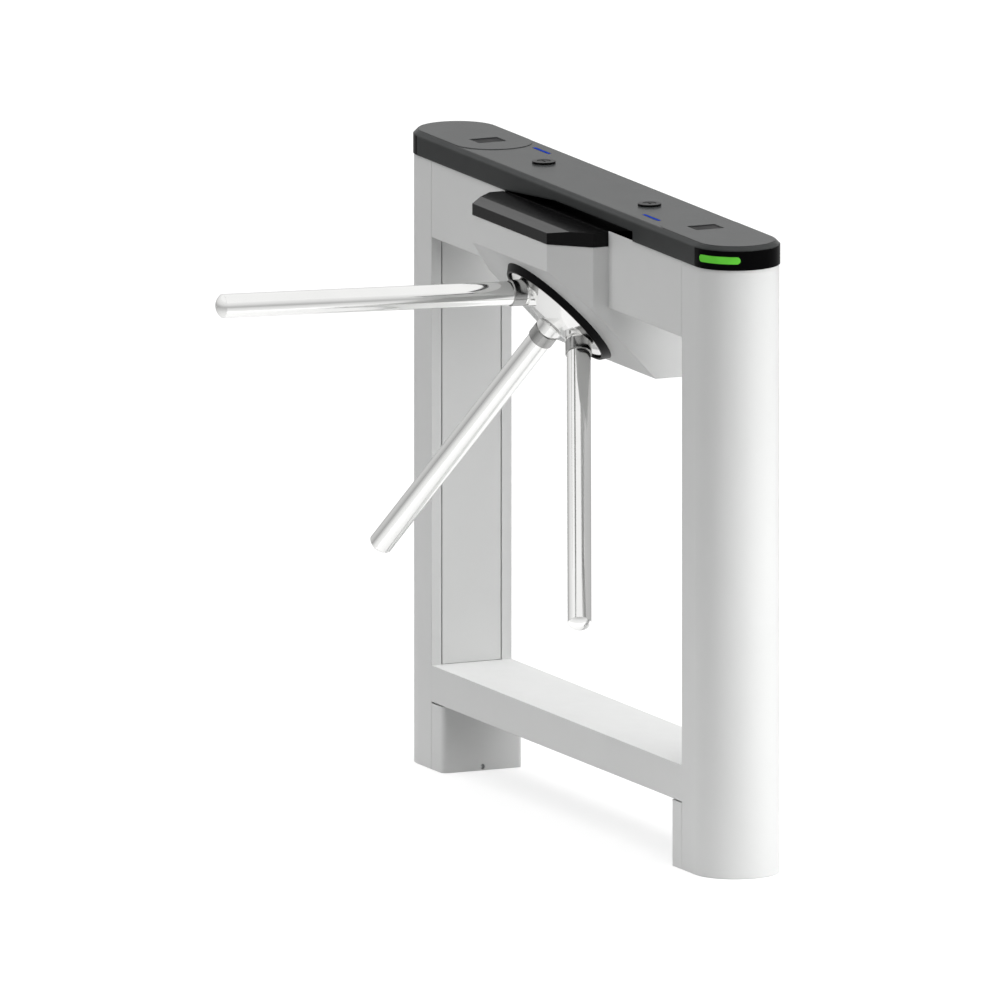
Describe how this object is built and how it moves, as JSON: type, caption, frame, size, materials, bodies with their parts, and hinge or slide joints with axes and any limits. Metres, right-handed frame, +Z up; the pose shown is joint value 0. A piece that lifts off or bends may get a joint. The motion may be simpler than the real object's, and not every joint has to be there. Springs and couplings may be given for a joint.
{
  "type": "tripod turnstile",
  "caption": "Tripod turnstile: half-round posts joined by a low beam and a head, with a slanted hub whose tube arms bar the passage and turn to let people through.",
  "frame": {"origin": "on the floor, at the centre of the four anchor holes, midway between the posts", "axes": "+X along the length from post to post, -Y the passage side with the arms, +Z up"},
  "size_m": [1.192, 0.7266, 1.0125],
  "materials": {
    "body_paint": "satin powder coat",
    "cap_grey": "fine satin texture",
    "lid_black": "gloss",
    "gloss_black": "gloss",
    "ring_black": "satin",
    "green_light": "lit diffuser",
    "blue_light": "lit diffuser",
    "reader_glass": "satin",
    "lock_dark": "satin",
    "lock_steel": "turned",
    "arm_chrome": "polished",
    "hub_chrome": "polished",
    "frame_steel": "galvanised",
    "cage_steel": "zinc plated",
    "bright_steel": "ground",
    "gear_brass": "machined",
    "damper_black": "moulded",
    "coil_wrap": "taped winding",
    "board_green": "solder mask"
  },
  "bodies": {
    "frame": {"beam_core": "frame_steel", "cage_spacers": "cage_steel", "cage_studs": "cage_steel", "controller_board": "board_green", "damper_body": "damper_black", "encoder_sensor": "damper_black", "front_plate": "cage_steel", "head_back_panel": "body_paint", "housing_lid": "lid_black", "hub_ring": "ring_black", "left_base_plate": "frame_steel", "left_column": "frame_steel", "left_direction_light": "blue_light", "left_end_window": "gloss_black", "left_head_panel": "body_paint", "left_lock_collar": "lock_dark", "left_plinth": "body_paint", "left_post_door": "body_paint", "left_post_shell": "body_paint", "left_reader_window": "reader_glass", "left_status_light": "green_light", "lower_beam": "body_paint", "mechanism_housing": "body_paint", "pawl_pins": "cage_steel", "plunger_cartridge": "cage_steel", "rear_plate": "cage_steel", "right_base_plate": "frame_steel", "right_column": "frame_steel", "right_direction_light": "blue_light", "right_end_window": "gloss_black", "right_head_panel": "body_paint", "right_lock_collar": "lock_dark", "right_plinth": "body_paint", "right_post_door": "body_paint", "right_post_shell": "body_paint", "right_reader_window": "reader_glass", "right_status_light": "green_light", "service_cover": "body_paint", "shaft_bearings": "bright_steel", "solenoids": "coil_wrap", "top_cap": "cap_grey"},
    "rotor": {"hub": "hub_chrome", "upper_arm": "arm_chrome", "left_arm": "arm_chrome", "right_arm": "arm_chrome", "arm_collars": "hub_chrome", "arm_end_caps": "arm_chrome", "main_shaft": "bright_steel", "lock_disc": "bright_steel", "index_cam": "bright_steel", "drive_gear": "gear_brass", "encoder_disc": "damper_black"},
    "pinion": {"damper_pinion": "gear_brass"},
    "plunger": {"index_plunger": "bright_steel"},
    "right_pawl_lever": {"right_pawl": "bright_steel"},
    "left_pawl_lever": {"left_pawl": "bright_steel"},
    "right_core": {"right_solenoid_core": "bright_steel"},
    "left_core": {"left_solenoid_core": "bright_steel"},
    "right_key_plug": {"right_lock_plug": "lock_steel"},
    "left_key_plug": {"left_lock_plug": "lock_steel"}
  },
  "joints": [
    {"name": "rotor_spin", "type": "hinge", "parent": "frame", "child": "rotor", "pos_m": [0, -0.0642, 0.8119], "axis": [0, -0.7314, -0.682], "continuous": true},
    {"name": "pinion_spin", "type": "hinge", "parent": "frame", "child": "pinion", "pos_m": [0.0603, -0.0642, 0.8119], "axis": [0, -0.7314, -0.682], "continuous": true},
    {"name": "plunger_slide", "type": "slide", "parent": "frame", "child": "plunger", "axis": [-1, 0, 0], "range_m": [0, 0.008], "stiffness_N_per_m": 800, "springref_m": -0.004},
    {"name": "right_pawl_swing", "type": "hinge", "parent": "frame", "child": "right_pawl_lever", "pos_m": [0.036, -0.10785, 0.85871], "axis": [0, -0.7314, -0.682], "range_deg": [-6, 3], "stiffness_Nm_per_rad": 0.4},
    {"name": "right_core_slide", "type": "slide", "parent": "frame", "child": "right_core", "axis": [0, -0.682, 0.7314], "range_m": [-0.0035, 0.002]},
    {"name": "right_key_turn", "type": "hinge", "parent": "frame", "child": "right_key_plug", "pos_m": [0.2, 0, 1], "axis": [0, 0, 1], "range_deg": [0, 90]},
    {"name": "left_pawl_swing", "type": "hinge", "parent": "frame", "child": "left_pawl_lever", "pos_m": [-0.036, -0.10785, 0.85871], "axis": [0, 0.7314, 0.682], "range_deg": [-6, 3], "stiffness_Nm_per_rad": 0.4},
    {"name": "left_core_slide", "type": "slide", "parent": "frame", "child": "left_core", "axis": [0, -0.682, 0.7314], "range_m": [-0.0035, 0.002]},
    {"name": "left_key_turn", "type": "hinge", "parent": "frame", "child": "left_key_plug", "pos_m": [-0.2, 0, 1], "axis": [0, 0, 1], "range_deg": [0, 90]}
  ],
  "couplings": [
    {"joint": "pinion_spin", "follows": "rotor_spin", "ratio": -3},
    {"joint": "right_core_slide", "follows": "right_pawl_swing", "m_per_rad": 0.0305},
    {"joint": "left_core_slide", "follows": "left_pawl_swing", "m_per_rad": 0.0305}
  ]
}
